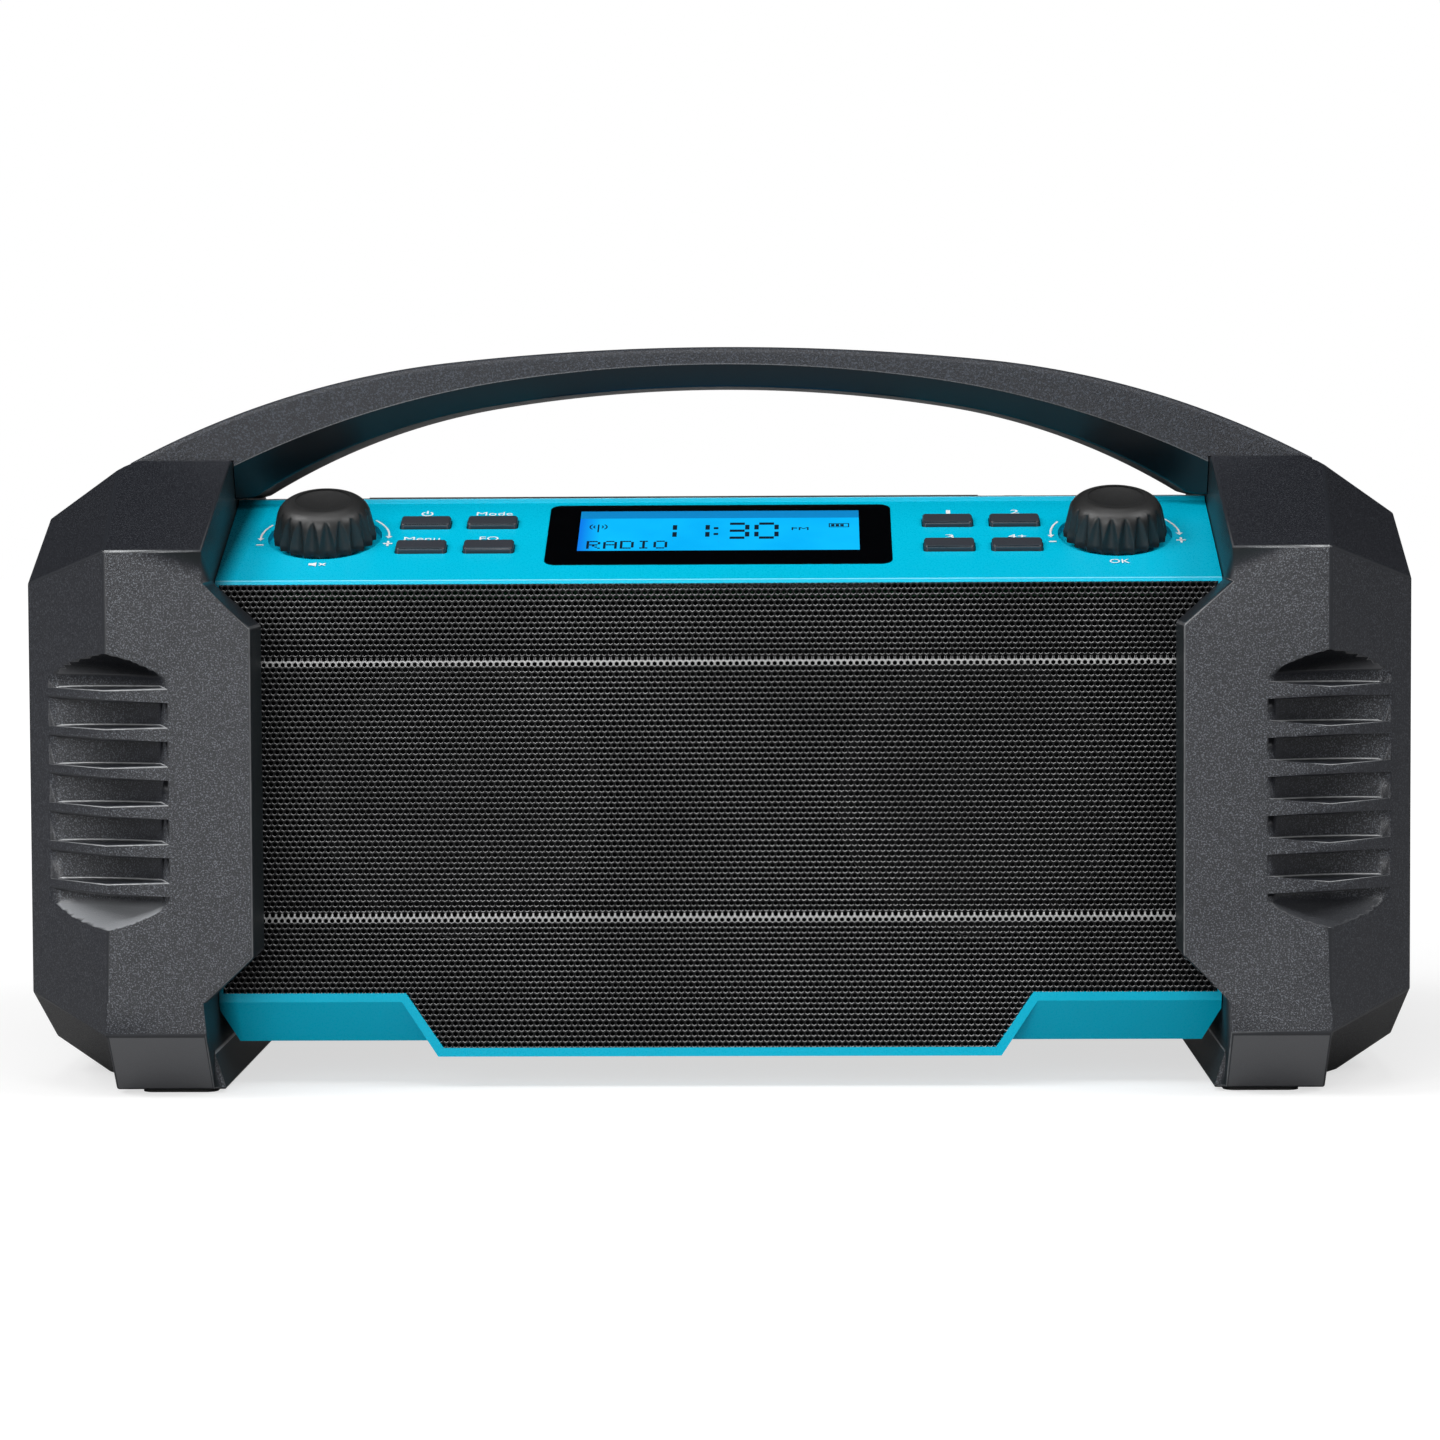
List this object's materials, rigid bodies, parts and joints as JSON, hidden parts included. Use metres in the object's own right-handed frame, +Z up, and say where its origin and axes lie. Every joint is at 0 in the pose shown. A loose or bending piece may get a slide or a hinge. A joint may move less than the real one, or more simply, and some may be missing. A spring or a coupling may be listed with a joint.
{
  "type": "jobsite radio",
  "caption": "Jobsite radio with moulded corner guards, an arched carry handle, a sloped control panel with knobs, buttons and a display, a perforated grille and a folding antenna.",
  "frame": {"origin": "middle of the footprint, on the ground under the rubber foot pads", "axes": "+X to the right seen from the front, +Y to the back, +Z up; the grille and panel face -Y"},
  "size_m": [0.35, 0.164, 0.1891],
  "materials": {
    "guard_plastic": "fine speckled texture, satin",
    "handle_plastic": "fine speckled texture on top, smooth under the band",
    "cyan_plastic": "fine satin texture",
    "cover_plastic": "fine satin texture",
    "grille_steel": "black powder coat, semi-gloss",
    "inner_plastic": "plain black",
    "foot_rubber": "matt",
    "seal_rubber": "matt",
    "knob_plastic": "soft-touch, matt",
    "button_plastic": "soft-touch, matt",
    "window_plastic": "polished black",
    "lcd_glass": "backlit blue display",
    "white_plastic": "plain white",
    "board_laminate": "green solder mask",
    "keypad_silicone": "soft grey",
    "spring_steel": "zinc plated",
    "cone_paper": "black paper",
    "magnet_steel": "dull grey",
    "battery_plastic": "plain dark grey",
    "contact_brass": "bright",
    "screw_steel": "plain",
    "socket_plastic": "plain black",
    "antenna_chrome": "polished"
  },
  "bodies": {
    "radio": {"front_housing": "cyan_plastic", "rear_cover": "cover_plastic", "housing_seal": "seal_rubber", "speaker_grille": "grille_steel", "baffle": "inner_plastic", "left_guard": "guard_plastic", "right_guard": "guard_plastic", "handle": "handle_plastic", "foot_pads": "foot_rubber", "handle_screws": "screw_steel", "guard_screws": "screw_steel", "cover_screws": "screw_steel", "display_window": "window_plastic", "lcd_panel": "lcd_glass", "lcd_holder": "white_plastic", "control_board": "board_laminate", "board_screws": "screw_steel", "volume_encoder": "spring_steel", "tuning_encoder": "spring_steel", "left_keypad": "keypad_silicone", "right_keypad": "keypad_silicone", "left_speaker_frame": "magnet_steel", "left_speaker_cone": "cone_paper", "left_speaker_magnet": "magnet_steel", "right_speaker_frame": "magnet_steel", "right_speaker_cone": "cone_paper", "right_speaker_magnet": "magnet_steel", "battery_tray": "inner_plastic", "battery_pack": "battery_plastic", "battery_contacts": "contact_brass", "door_hinge_pin": "screw_steel", "main_board": "board_laminate", "dc_jack": "socket_plastic", "aux_jack": "socket_plastic", "usb_port": "spring_steel", "flap_pin": "screw_steel", "antenna_rest": "inner_plastic"},
    "volume_shaft": {"volume_shaft": "screw_steel"},
    "volume_knob": {"volume_knob": "knob_plastic"},
    "tuning_shaft": {"tuning_shaft": "screw_steel"},
    "tuning_knob": {"tuning_knob": "knob_plastic"},
    "power_button": {"power_button": "button_plastic"},
    "mode_button": {"mode_button": "button_plastic"},
    "menu_button": {"menu_button": "button_plastic"},
    "eq_button": {"eq_button": "button_plastic"},
    "preset_1_button": {"preset_1_button": "button_plastic"},
    "preset_2_button": {"preset_2_button": "button_plastic"},
    "preset_3_button": {"preset_3_button": "button_plastic"},
    "preset_4_button": {"preset_4_button": "button_plastic"},
    "battery_door": {"battery_door": "cover_plastic"},
    "port_flap": {"port_flap": "foot_rubber"},
    "antenna_base": {"antenna_base": "antenna_chrome", "antenna_pin": "screw_steel"},
    "antenna_mast_1": {"antenna_mast_1": "antenna_chrome"},
    "antenna_mast_2": {"antenna_mast_2": "antenna_chrome"},
    "antenna_mast_3": {"antenna_mast_3": "antenna_chrome"},
    "antenna_tip": {"antenna_tip": "antenna_chrome"}
  },
  "joints": [
    {"name": "volume_spin", "type": "hinge", "parent": "radio", "child": "volume_shaft", "pos_m": [-0.1022, -0.03263, 0.14017], "axis": [0, -0.3665, 0.9304], "continuous": true},
    {"name": "volume_press", "type": "slide", "parent": "volume_shaft", "child": "volume_knob", "axis": [0, 0.3665, -0.9304], "range_m": [0, 0.0008], "stiffness_N_per_m": 400, "springref_m": -0.001},
    {"name": "tuning_spin", "type": "hinge", "parent": "radio", "child": "tuning_shaft", "pos_m": [0.1022, -0.03263, 0.14017], "axis": [0, -0.3665, 0.9304], "continuous": true},
    {"name": "tuning_press", "type": "slide", "parent": "tuning_shaft", "child": "tuning_knob", "axis": [0, 0.3665, -0.9304], "range_m": [0, 0.0008], "stiffness_N_per_m": 400, "springref_m": -0.001},
    {"name": "power_press", "type": "slide", "parent": "radio", "child": "power_button", "axis": [0, 0.3665, -0.9304], "range_m": [0, 0.0008], "stiffness_N_per_m": 300, "springref_m": -0.001},
    {"name": "mode_press", "type": "slide", "parent": "radio", "child": "mode_button", "axis": [0, 0.3665, -0.9304], "range_m": [0, 0.0008], "stiffness_N_per_m": 300, "springref_m": -0.001},
    {"name": "menu_press", "type": "slide", "parent": "radio", "child": "menu_button", "axis": [0, 0.3665, -0.9304], "range_m": [0, 0.0008], "stiffness_N_per_m": 300, "springref_m": -0.001},
    {"name": "eq_press", "type": "slide", "parent": "radio", "child": "eq_button", "axis": [0, 0.3665, -0.9304], "range_m": [0, 0.0008], "stiffness_N_per_m": 300, "springref_m": -0.001},
    {"name": "preset_1_press", "type": "slide", "parent": "radio", "child": "preset_1_button", "axis": [0, 0.3665, -0.9304], "range_m": [0, 0.0008], "stiffness_N_per_m": 300, "springref_m": -0.001},
    {"name": "preset_2_press", "type": "slide", "parent": "radio", "child": "preset_2_button", "axis": [0, 0.3665, -0.9304], "range_m": [0, 0.0008], "stiffness_N_per_m": 300, "springref_m": -0.001},
    {"name": "preset_3_press", "type": "slide", "parent": "radio", "child": "preset_3_button", "axis": [0, 0.3665, -0.9304], "range_m": [0, 0.0008], "stiffness_N_per_m": 300, "springref_m": -0.001},
    {"name": "preset_4_press", "type": "slide", "parent": "radio", "child": "preset_4_button", "axis": [0, 0.3665, -0.9304], "range_m": [0, 0.0008], "stiffness_N_per_m": 300, "springref_m": -0.001},
    {"name": "battery_door_hinge", "type": "hinge", "parent": "radio", "child": "battery_door", "pos_m": [0, 0.0774, 0.024], "axis": [-1, 0, 0], "range_deg": [0, 100]},
    {"name": "port_flap_hinge", "type": "hinge", "parent": "radio", "child": "port_flap", "pos_m": [0.0718, 0.0776, 0.052], "axis": [0, 0, 1], "range_deg": [0, 120]},
    {"name": "antenna_swivel", "type": "hinge", "parent": "radio", "child": "antenna_base", "pos_m": [-0.106, 0.072, 0.1468], "axis": [0, 0, 1], "range_deg": [0, 180]},
    {"name": "antenna_elbow", "type": "hinge", "parent": "antenna_base", "child": "antenna_mast_1", "pos_m": [-0.106, 0.072, 0.1468], "axis": [0, -1, 0], "range_deg": [0, 90]},
    {"name": "antenna_draw_1", "type": "slide", "parent": "antenna_mast_1", "child": "antenna_mast_2", "axis": [1, 0, 0], "range_m": [0, 0.14]},
    {"name": "antenna_draw_2", "type": "slide", "parent": "antenna_mast_2", "child": "antenna_mast_3", "axis": [1, 0, 0], "range_m": [0, 0.14]},
    {"name": "antenna_draw_3", "type": "slide", "parent": "antenna_mast_3", "child": "antenna_tip", "axis": [1, 0, 0], "range_m": [0, 0.14]}
  ]
}
